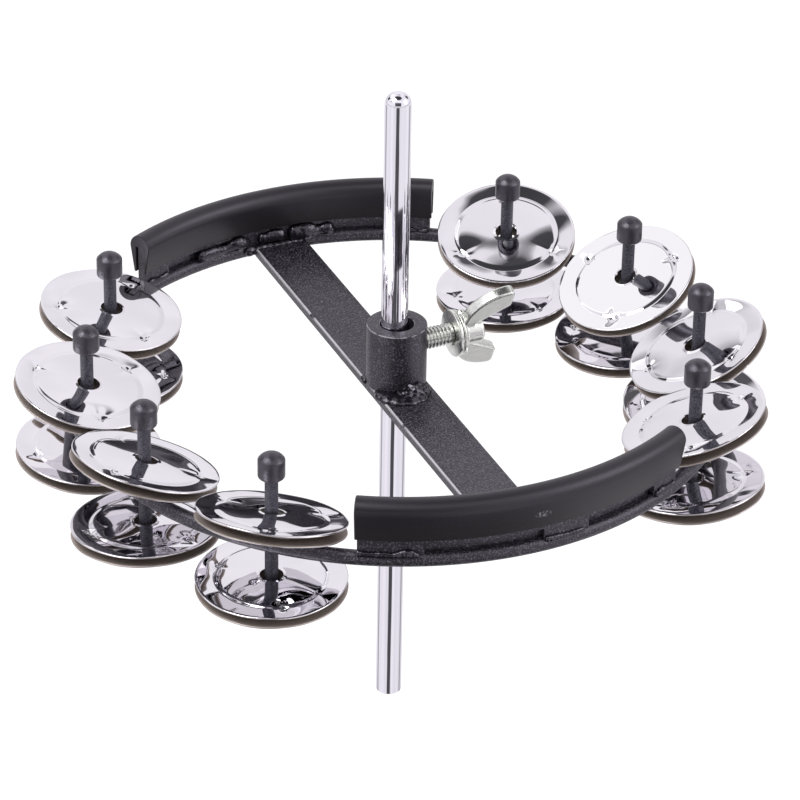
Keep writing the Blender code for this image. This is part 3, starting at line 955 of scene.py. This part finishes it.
class TAMBOURINE_OT_beater_pads(bpy.types.Operator):
    """Mould the rubber pads, each with a slot that grips its blade"""

    bl_idname = "tambourine.beater_pads"
    bl_label = "Beater pads"

    def execute(self, context):
        radius = box_size("ring").x / 2 - sizes().ring_wire / 2
        slot = sizes().blade_thickness / 2 + 0.3 * MM
        slot_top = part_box("front_pad_rail")[1][2] - RING_CENTRE.z + 0.3 * MM
        half_width = 3.25 * MM
        half_foot = 2.0 * MM
        lip = 0.35 * MM
        for side in ("front", "back"):
            node = f"{side}_beater_pad"
            low, high = (corner[2] - RING_CENTRE.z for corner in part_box(node))
            half_angle = asin(box_size(node).x / 2 / (radius + half_width))
            middle = pad_middle(side)
            crown_middle = (0.0, high - half_width)
            section = [
                (slot, low),
                *arc((half_foot - lip, low + lip), lip, -pi / 2, -0.2, 3),
                *arc(crown_middle, half_width, -0.18, pi + 0.18, 24),
                *arc((lip - half_foot, low + lip), lip, pi + 0.2, 3 * pi / 2, 3),
                (-slot, low),
                (-slot, slot_top),
                (slot, slot_top),
            ]
            pad = swept(f"{side}_beater_pad_moulded", section, radius, middle - half_angle, middle + half_angle, 96)
            use_modifier(pad, "BEVEL", width=0.25 * MM, segments=2, limit_method="ANGLE", angle_limit=radians(60))
            bpy.ops.object.shade_smooth_by_angle(angle=radians(30))
            settle(pad, Matrix.Translation(RING_CENTRE))
            hand_over(pad, shared_material(moulded_rubber), "frame", "black_rubber", node)
        return {"FINISHED"}


class TAMBOURINE_OT_pins(bpy.types.Operator):
    """Turn the pins and the caps on their ends"""

    bl_idname = "tambourine.pins"
    bl_label = "Pins and caps"

    def execute(self, context):
        radius = sizes().pin_diameter / 2
        head_radius = box_size("pin_cap_1").x / 2
        pin_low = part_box("jingle_pin_1")[0][2] - RING_CENTRE.z
        cap_low, cap_high = (corner[2] - RING_CENTRE.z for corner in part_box("pin_cap_1"))
        head = cap_high - cap_low
        edge = 0.7 * MM
        dome = 1.9 * MM
        dome_radius = (head_radius**2 + dome**2) / (2 * dome)
        dome_angle = asin(head_radius / dome_radius)
        pin_profile = [
            (0.0, pin_low),
            *arc((head_radius - edge, pin_low + edge), edge, -pi / 2, 0.0, 5),
            *arc((head_radius - edge, pin_low + head - edge), edge, 0.0, pi / 2, 5),
            (radius, pin_low + head),
            (radius, cap_low + head / 2),
            (0.0, cap_low + head / 2),
        ]
        cap_profile = [
            (radius + 0.3 * MM, cap_low + head / 2 + 0.3 * MM),
            (radius + 0.3 * MM, cap_low),
            *arc((head_radius - edge, cap_low + edge), edge, -pi / 2, 0.0, 5),
            (head_radius, cap_high - dome - 0.1 * MM),
            *arc((0.0, cap_high - dome_radius), dome_radius, pi / 2 - 0.97 * dome_angle, pi / 2, 12),
        ]
        cap_profile = [(0.0, cap_low + head / 2 + 0.3 * MM), *cap_profile]
        pin_pattern = turned("pin_pattern", pin_profile, 32)
        cap_pattern = turned("cap_pattern", cap_profile, 40)
        for number in PIN_NUMBERS:
            axis = box_middle(f"pin_cap_{number}")
            place = at(axis.x, axis.y, RING_CENTRE.z)
            pin = copy_of(pin_pattern, f"jingle_pin_{number}_turned")
            settle(pin, place)
            hand_over(pin, shared_material(blackened_steel), "frame", "blackened_pin", f"jingle_pin_{number}")
            cap = copy_of(cap_pattern, f"pin_cap_{number}_dipped")
            settle(cap, place)
            hand_over(cap, shared_material(dipped_vinyl), "frame", "black_cap", f"pin_cap_{number}")
        drop(pin_pattern)
        drop(cap_pattern)
        return {"FINISHED"}


def skin_height(radius, hole, crease, rim):
    """Height of a disc's outer skin over its rim. The border slopes down to the
    crease, and the middle rises inside it in a soft shoulder and a shallow dome."""
    border = 0.26 * MM * (1 - min(max((radius - crease) / (rim - crease), 0.0), 1.0)) ** 1.3
    shoulder = min(max((crease - radius) / (1.5 * MM), 0.0), 1.0)
    rise = 0.26 * MM * shoulder * (2 - shoulder)
    dome = 0.30 * MM * (1 - min(radius / crease, 1.0) ** 2)
    lip = 0.12 * MM * exp(-(((radius - hole) / (0.4 * MM)) ** 2))
    return rise + dome + lip - border


def pressed_dimples(x, y, circle, width):
    """How deep the three dimples and the creases that run from them are at a point."""
    depth = 0.0
    for number in range(3):
        angle = 2 * pi * number / 3
        along = x * cos(angle) + y * sin(angle) - circle
        across = y * cos(angle) - x * sin(angle)
        distance = hypot(along, across)
        dent = exp(-((distance / (width / 2)) ** 2))
        reach = exp(-((distance / (1.9 * width)) ** 2))
        star = max(0.0, cos(2.5 * np.arctan2(across, along) + number)) ** 2
        round_about = exp(-((distance / (3.4 * width)) ** 2))
        depth += 0.5 * MM * dent + 0.16 * MM * star * reach * (1 - dent) + 0.08 * MM * reach
        depth += 0.16 * MM * round_about
    return depth


def disc_frame(node, turn):
    """Where a disc lies: its axis from the flat spread of its points, with Z towards
    its outer side and the middle plane of its pair at Z = 0."""
    points = np.array([vertex.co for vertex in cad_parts[node].data.vertices])
    middle = points.mean(axis=0)
    spread = np.linalg.svd(points - middle, full_matrices=False)[2]
    axis = Vector(spread[2])
    if axis.z < 0:
        axis.negate()
    if node.endswith("base"):
        axis.negate()
    outward = Vector((middle[0] - RING_CENTRE.x, middle[1] - RING_CENTRE.y, 0.0))
    side = axis.cross(outward).normalized()
    forward = side.cross(axis)
    heights = (points - middle) @ np.array(axis)
    basis = Matrix((forward, side, axis)).transposed().to_4x4()
    return Matrix.Translation(middle) @ basis @ Matrix.Rotation(turn, 4, "Z"), heights.max()


class TAMBOURINE_OT_jingles(bpy.types.Operator):
    """Stamp the jingle discs and lay them on their pins"""

    bl_idname = "tambourine.jingles"
    bl_label = "Jingles"

    # How each pair is turned on its pin, in degrees.
    TURNS = {"upper": (32, 98, 20, 18, 24, 92, 58, 46), "lower": (70, 15, 100, 35, 4, 5, 60, 25)}

    def execute(self, context):
        radius = sizes().jingle_diameter / 2
        hole = sizes().jingle_hole / 2
        crease = radius - sizes().border_width
        thickness = sizes().jingle_thickness
        rim = thickness / 2
        skin = [
            *np.linspace(hole, hole + 1.2 * MM, 6),
            *np.linspace(hole + 1.9 * MM, crease - 2.2 * MM, 9),
            *np.linspace(crease - 1.8 * MM, crease + 0.9 * MM, 11),
            *np.linspace(crease + 1.5 * MM, radius - rim, 6),
        ]
        outer = [(r, skin_height(r, hole, crease, radius)) for r in skin]
        edge = arc((radius - rim, -rim), rim, pi / 2, -pi / 2, 6)[1:-1]
        inner = [(r, height - thickness) for r, height in reversed(outer)]
        pattern = turned("jingle_pattern", [*outer, *edge, *inner, outer[0]], 144, radians(50))
        for vertex in pattern.data.vertices:
            vertex.co.z -= pressed_dimples(vertex.co.x, vertex.co.y, crease, sizes().dimple_width)
        for number in PIN_NUMBERS:
            for level, turns in self.TURNS.items():
                for face in ("top", "base"):
                    node = f"jingle_{number}_{level}_{face}"
                    place, top = disc_frame(node, radians(turns[number - 1]))
                    disc = copy_of(pattern, f"{node}_stamped")
                    seed = Vector((number * 3.7, len(level) * 1.3, len(face) * 2.1))
                    for vertex in disc.data.vertices:
                        waver = noise.noise(vertex.co / (12 * MM) + seed)
                        vertex.co.z += 0.3 * MM * waver * min(1.0, vertex.co.xy.length / crease)
                    settle(disc, place @ at(0.0, 0.0, top - 0.3 * MM))
                    hand_over(disc, shared_material(polished_nickel_plating), node, "polished_nickel", node)
                    # The faces between the two discs get the darker dull nickel: partly painted shade.
                    disc.data.materials.append(shared_material(dull_nickel_and_painted_shade))
                    self.dull_the_back(disc, place.to_3x3().col[2])
        drop(pattern)
        return {"FINISHED"}

    def dull_the_back(self, disc, outward):
        """Give the faces that look towards the other disc of the pair the dull finish, with its painted shade."""
        for face in disc.data.polygons:
            if face.normal.dot(outward) < -0.25:
                face.material_index = 1


def weld_bead(name, lumps, roughness, seed):
    """Spheres of (x, y, z, radius, flatness), melted into one skin and roughened."""
    balls = []
    for x, y, z, radius, flatness in lumps:
        fresh_start()
        bpy.ops.mesh.primitive_uv_sphere_add(segments=16, ring_count=10, radius=radius, location=(x, y, z))
        ball = bpy.context.object
        ball.scale.z = flatness
        balls.append(ball)
    bead = join(balls, name)
    bpy.ops.object.transform_apply(location=True, rotation=True, scale=True)
    use_modifier(bead, "REMESH", mode="VOXEL", voxel_size=0.22 * MM)
    use_modifier(bead, "SMOOTH", factor=0.5, iterations=10)
    for vertex in bead.data.vertices:
        spot = Vector(vertex.co) / (1.1 * MM) + Vector((seed, 2 * seed, 3 * seed))
        vertex.co += roughness * noise.noise_vector(spot)
    pick(bead)
    bpy.ops.object.shade_smooth()
    return bead


class TAMBOURINE_OT_welds(bpy.types.Operator):
    """Lay the weld beads that hold the frame together"""

    bl_idname = "tambourine.welds"
    bl_label = "Weld beads"

    # Lumps round the foot of the collar: degrees round it, distance outside it,
    # radius and flatness. The front ones melted to a smooth puddle and a bubbly heap.
    PUDDLE = (
        (-146, 0.3, 1.5, 0.7),
        (-136, 1.2, 2.3, 0.6),
        (-124, 2.0, 2.9, 0.55),
        (-110, 2.6, 3.1, 0.5),
        (-96, 2.8, 3.1, 0.45),
        (-82, 2.4, 2.9, 0.45),
    )
    HEAP = (
        (-104, 0.9, 2.0, 1.2),
        (-94, 1.6, 2.2, 1.2),
        (-84, 1.3, 2.5, 1.3),
        (-72, 1.7, 2.4, 1.1),
        (-60, 1.0, 2.0, 0.9),
        (-88, 0.3, 2.5, 1.4),
        (-76, 0.3, 2.6, 1.3),
    )
    BACK = (
        (157, 0.1, 1.1, 0.9),
        (150, 0.4, 1.2, 0.8),
        (100, 0.6, 2.0, 0.8),
        (82, 0.7, 2.1, 0.8),
        (66, 0.5, 1.8, 0.9),
    )

    # Beads along the foot of each rail: first and last degree round the ring, side
    # of the rail (1 outside, -1 inside), height and radius.
    RAIL_BEADS = {
        "front_left": (-120.4, -110.6, 1, 1.8, 0.9),
        "front_middle": (-88.6, -81.4, 1, 1.7, 0.8),
        "front_right": (-65.0, -59.6, 1, 1.8, 0.8),
        "back_left": (96.0, 106.0, -1, 2.9, 1.7),
        "back_middle": (88.6, 92.4, -1, 3.2, 1.5),
        "back_right": (79.0, 86.0, -1, 2.9, 1.7),
        "back_left_end": (114.5, 121.0, -1, 2.0, 0.9),
        "back_right_end": (60.0, 66.0, -1, 2.0, 0.9),
    }

    # Where the roughness of the beads starts, so that each run gives the same beads.
    SEED = 1

    def execute(self, context):
        noise.seed_set(self.SEED)
        self.weld_the_collar()
        self.weld_the_bar()
        self.weld_the_rails()
        self.weld_the_pins()
        return {"FINISHED"}

    def lay(self, name, lumps, roughness, seed):
        bead = weld_bead(name, lumps, roughness, seed)
        hand_over(bead, shared_material(weld_metal), "frame", "black_powder_coat")

    def weld_the_collar(self):
        foot = Vector((RING_CENTRE.x, RING_CENTRE.y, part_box("cross_bar")[1][2]))
        outer = sizes().collar_diameter / 2
        for name, lumps, roughness in (
            ("puddle", self.PUDDLE, 0.05),
            ("heap", self.HEAP, 0.4),
            ("back", self.BACK, 0.1),
        ):
            placed = []
            for angle, reach, radius, flatness in lumps:
                spot = foot + (outer + reach * MM) * Vector((cos(radians(angle)), sin(radians(angle)), 0.0))
                placed.append((*spot, radius * MM, flatness))
            self.lay(f"weld_collar_{name}", placed, roughness * MM, float(len(name)))

    def weld_the_bar(self):
        """A bead across the top of each end of the bar."""
        ring_radius = box_size("ring").x / 2 - sizes().ring_wire / 2
        half = sizes().bar_width / 2
        for side, name in ((1, "back"), (-1, "front")):
            placed = []
            for across in np.linspace(-half, half, 9):
                wobble = noise.noise(Vector((across / (2 * MM), side * 3.1, 0.0)))
                y = side * (ring_radius - 2.1 * MM + 0.5 * MM * wobble)
                radius = (1.7 + 0.5 * wobble) * MM
                placed.append((RING_CENTRE.x + across, y, RING_CENTRE.z + 0.5 * MM, radius, 0.9))
            self.lay(f"weld_bar_{name}", placed, 0.1 * MM, 3.0 + side)

    def weld_the_rails(self):
        ring_radius = box_size("ring").x / 2 - sizes().ring_wire / 2
        for number, (name, (first, last, side, height, size)) in enumerate(self.RAIL_BEADS.items()):
            placed = []
            out = ring_radius + side * (sizes().blade_thickness / 2 + 0.1 * MM)
            for angle in np.arange(first, last, 0.6):
                turn = radians(angle)
                wobble = noise.noise(Vector((angle / 3.0, number * 2.3, 0.0)))
                placed.append(
                    (
                        RING_CENTRE.x + out * cos(turn),
                        RING_CENTRE.y + out * sin(turn),
                        RING_CENTRE.z + (height + 0.8 * wobble) * MM,
                        size * (1 + 0.7 * wobble) * MM,
                        1.1,
                    )
                )
            self.lay(f"weld_rail_{name}", placed, 0.12 * MM, 5.0 + number)

    def weld_the_pins(self):
        for number in PIN_NUMBERS:
            axis = box_middle(f"pin_cap_{number}")
            outward = Vector((axis.x - RING_CENTRE.x, axis.y - RING_CENTRE.y, 0.0)).normalized()
            across = Vector((-outward.y, outward.x, 0.0))
            placed = []
            for out, side, height, radius in (
                (1.9, 0.0, 1.9, 1.25),
                (1.4, 1.5, 1.3, 1.05),
                (1.4, -1.5, 1.4, 1.1),
                (1.2, 1.2, -1.0, 1.0),
                (1.2, -1.2, -1.1, 1.0),
            ):
                spot = Vector((axis.x, axis.y, RING_CENTRE.z)) + (outward * out + across * side) * MM
                placed.append((spot.x, spot.y, spot.z + height * MM, radius * MM, 0.9))
            self.lay(f"weld_pin_{number}", placed, 0.15 * MM, 11.0 + number)


# Studio


class TAMBOURINE_OT_studio(bpy.types.Operator):
    """Set up the floor, the soft lamps and the camera"""

    bl_idname = "tambourine.studio"
    bl_label = "Studio"

    def execute(self, context):
        fresh_start()
        bpy.ops.mesh.primitive_plane_add(size=8.0, location=(0.0, 0.0, -0.12))
        floor = bpy.context.object
        floor.name = "studio_floor"
        floor.data.materials.append(shared_material(white_paper))
        floor.visible_glossy = False
        for name, place, size, watts in (
            ("key_softbox", (-0.9, 0.0, 1.5), 0.9, 13.0),
            ("fill_softbox", (1.2, -0.9, 1.0), 0.9, 6.0),
            ("back_softbox", (-0.46, 1.24, 1.5), 1.0, 3.0),
        ):
            bpy.ops.object.light_add(type="AREA", location=place)
            lamp = bpy.context.object
            lamp.name = name
            lamp.data.name = name
            lamp.data.size = size
            lamp.data.energy = watts
            lamp.rotation_euler = (RING_CENTRE - lamp.location).to_track_quat("-Z", "Y").to_euler()
        self.light_the_room()
        self.aim_the_camera()
        context.scene.view_settings.view_transform = "Standard"
        return {"FINISHED"}

    # How bright mirrors see the room from straight down (-90 degrees) to straight up.
    ROOM = (
        (-90, 0.8),
        (-56, 0.8),
        (-54, 0.85),
        (-16, 1.0),
        (-4.4, 0.9),
        (-3.6, 0.08),
        (-2.6, 0.06),
        (-1.6, 0.95),
        (30, 1.0),
        (66, 1.0),
        (68, 0.07),
        (90, 0.04),
    )

    # Black flags that mirrors see round the set: degrees clockwise from the back and
    # degrees up, half their width and height in degrees, how bright they are, and
    # how soft their edges are in degrees.
    FLAGS = (
        (-155.2, -30.0, 13.0, 24.0, 0.09, 1.5),
        (-155.2, -70.0, 34.0, 17.0, 0.06, 1.5),
        (-40.0, -30.0, 9.0, 14.0, 0.45, 1.5),
        (90.0, -30.0, 9.0, 14.0, 0.45, 1.5),
        (-34.0, 24.0, 11.0, 12.0, 0.05, 1.5),
        (-14.0, 24.0, 5.0, 7.0, 0.35, 5.0),
        (-20.4, 47.0, 14.0, 14.0, 0.12, 3.0),
        (72.0, 26.0, 11.0, 10.0, 0.05, 1.5),
        (-80.0, 45.0, 9.0, 14.0, 0.08, 1.5),
        (28.0, 50.0, 7.0, 5.0, 0.10, 1.5),
        (-155.2, 24.0, 24.0, 16.0, 0.10, 1.5),
    )

    def light_the_room(self):
        world = bpy.data.worlds.new("white_room")
        bpy.context.scene.world = world
        world.use_nodes = True
        tree = world.node_tree
        rays = add_node(tree, "ShaderNodeLightPath", {})
        mirrors = add_node(
            tree,
            "ShaderNodeMath",
            {"operation": "MAXIMUM"},
            [(0, rays.outputs["Is Glossy Ray"]), (1, rays.outputs["Is Transmission Ray"])],
        )
        seen = add_node(
            tree,
            "ShaderNodeMath",
            {"operation": "MAXIMUM"},
            [(0, rays.outputs["Is Camera Ray"]), (1, mirrors.outputs["Value"])],
        )
        level = add_node(
            tree, "ShaderNodeMapRange", {"To Min": 0.6, "To Max": 1.0}, [("Value", seen.outputs["Value"])]
        )
        brightness = self.room_in_mirrors(tree)
        tint = add_node(
            tree,
            "ShaderNodeMix",
            {"data_type": "RGBA", 6: (*linear("0d1016"), 1.0), 7: (*linear("fdfaff"), 1.0)},
            [(0, brightness)],
        )
        colour = add_node(
            tree,
            "ShaderNodeMix",
            {"data_type": "RGBA", 6: (1.0, 1.0, 1.0, 1.0)},
            [(0, mirrors.outputs["Value"]), (7, tint.outputs[2])],
        )
        background = tree.nodes["Background"]
        tree.links.new(colour.outputs[2], background.inputs["Color"])
        tree.links.new(level.outputs["Result"], background.inputs["Strength"])

    def room_in_mirrors(self, tree):
        """Brightness of the room by direction: white paper and walls, with the
        dark floor below, a dark line at the horizon and black flags."""
        direction = add_node(tree, "ShaderNodeTexCoord", {}).outputs["Generated"]
        height = add_node(tree, "ShaderNodeSeparateXYZ", {}, [("Vector", direction)])
        share = add_node(
            tree,
            "ShaderNodeMapRange",
            {"From Min": -1.0, "From Max": 1.0},
            [("Value", height.outputs["Z"])],
        )
        bands = add_node(tree, "ShaderNodeValToRGB", {}, [("Fac", share.outputs["Result"])])
        steps = bands.color_ramp.elements
        for elevation, level in self.ROOM[1:-1]:
            steps.new((sin(radians(elevation)) + 1) / 2).color = (level, level, level, 1.0)
        for step, (_, level) in ((steps[0], self.ROOM[0]), (steps[-1], self.ROOM[-1])):
            step.color = (level, level, level, 1.0)
        clouds = add_node(
            tree, "ShaderNodeTexNoise", {"Scale": 2.2, "Detail": 1.0}, [("Vector", direction)]
        )
        dimmed = add_node(
            tree,
            "ShaderNodeMapRange",
            {"From Min": 0.35, "From Max": 0.6, "To Min": 0.86, "To Max": 1.0},
            [("Value", clouds.outputs["Fac"])],
        )
        brightness = add_node(
            tree,
            "ShaderNodeMath",
            {"operation": "MULTIPLY"},
            [(0, bands.outputs["Color"]), (1, dimmed.outputs["Result"])],
        ).outputs["Value"]
        for azimuth, elevation, half_width, half_height, level, soft in self.FLAGS:
            faced = add_node(
                tree,
                "ShaderNodeMapping",
                {"vector_type": "TEXTURE", "Rotation": (radians(elevation), 0.0, radians(-azimuth))},
                [("Vector", direction)],
            )
            place = add_node(tree, "ShaderNodeSeparateXYZ", {}, [("Vector", faced.outputs["Vector"])])
            cover = add_node(
                tree,
                "ShaderNodeMapRange",
                {"From Min": 0.0, "From Max": 0.01, "To Max": 1.0 - level},
                [("Value", place.outputs["Y"])],
            ).outputs["Result"]
            for axis, half in (("X", half_width), ("Z", half_height)):
                off = add_node(
                    tree, "ShaderNodeMath", {"operation": "ABSOLUTE"}, [(0, place.outputs[axis])]
                )
                inside = add_node(
                    tree,
                    "ShaderNodeMapRange",
                    {"From Min": sin(radians(half + soft)), "From Max": sin(radians(half - soft))},
                    [("Value", off.outputs["Value"])],
                )
                cover = add_node(
                    tree,
                    "ShaderNodeMath",
                    {"operation": "MULTIPLY"},
                    [(0, cover), (1, inside.outputs["Result"])],
                ).outputs["Value"]
            left_over = add_node(tree, "ShaderNodeMath", {"operation": "SUBTRACT", 0: 1.0}, [(1, cover)])
            brightness = add_node(
                tree,
                "ShaderNodeMath",
                {"operation": "MULTIPLY"},
                [(0, brightness), (1, left_over.outputs["Value"])],
            ).outputs["Value"]
        return brightness

    def aim_the_camera(self):
        back = Vector(
            (
                sin(VIEW_AZIMUTH) * cos(VIEW_ELEVATION),
                -cos(VIEW_AZIMUTH) * cos(VIEW_ELEVATION),
                sin(VIEW_ELEVATION),
            )
        )
        right = Vector((0.0, 0.0, 1.0)).cross(back).normalized()
        upright = back.cross(right)
        tilted_right = cos(VIEW_ROLL) * right + sin(VIEW_ROLL) * upright
        tilted_up = cos(VIEW_ROLL) * upright - sin(VIEW_ROLL) * right
        bpy.ops.object.camera_add()
        camera = bpy.context.object
        camera.name = "photo_camera"
        camera.data.lens = VIEW_LENS
        camera.data.sensor_width = 36.0
        basis = Matrix((tilted_right, tilted_up, back)).transposed().to_4x4()
        camera.matrix_world = Matrix.Translation(VIEW_AIM + VIEW_DISTANCE * back) @ basis
        bpy.context.scene.camera = camera


class TAMBOURINE_PT_pieces(bpy.types.Panel):
    """Buttons for the pieces, with the sizes and colours that they use"""

    bl_idname = "TAMBOURINE_PT_pieces"
    bl_label = "Hi-hat tambourine"
    bl_space_type = "VIEW_3D"
    bl_region_type = "UI"
    bl_category = "Tambourine"

    def draw(self, context):
        layout = self.layout
        for operator in PIECES:
            layout.operator(operator.bl_idname)
        for group in (context.scene.tambourine_sizes, context.scene.tambourine_colours):
            box = layout.box()
            for name in group.__annotations__:
                box.prop(group, name)


PIECES = (
    TAMBOURINE_OT_pull_rod,
    TAMBOURINE_OT_ring,
    TAMBOURINE_OT_cross_bar,
    TAMBOURINE_OT_collar,
    TAMBOURINE_OT_wing_bolt,
    TAMBOURINE_OT_pad_rails,
    TAMBOURINE_OT_beater_pads,
    TAMBOURINE_OT_pins,
    TAMBOURINE_OT_jingles,
    TAMBOURINE_OT_welds,
    TAMBOURINE_OT_studio,
)
CLASSES = (TambourineSizes, TambourineColours, *PIECES, TAMBOURINE_PT_pieces)


def register():
    for thing in CLASSES:
        bpy.utils.register_class(thing)
    bpy.types.Scene.tambourine_sizes = PointerProperty(type=TambourineSizes)
    bpy.types.Scene.tambourine_colours = PointerProperty(type=TambourineColours)


def unregister():
    del bpy.types.Scene.tambourine_colours
    del bpy.types.Scene.tambourine_sizes
    for thing in reversed(CLASSES):
        bpy.utils.unregister_class(thing)


def main():
    register()
    bpy.ops.tambourine.pull_rod()
    bpy.ops.tambourine.ring()
    bpy.ops.tambourine.cross_bar()
    bpy.ops.tambourine.collar()
    bpy.ops.tambourine.wing_bolt()
    bpy.ops.tambourine.pad_rails()
    bpy.ops.tambourine.beater_pads()
    bpy.ops.tambourine.pins()
    bpy.ops.tambourine.jingles()
    bpy.ops.tambourine.welds()
    bpy.ops.tambourine.studio()


if __name__ == "__main__":
    main()
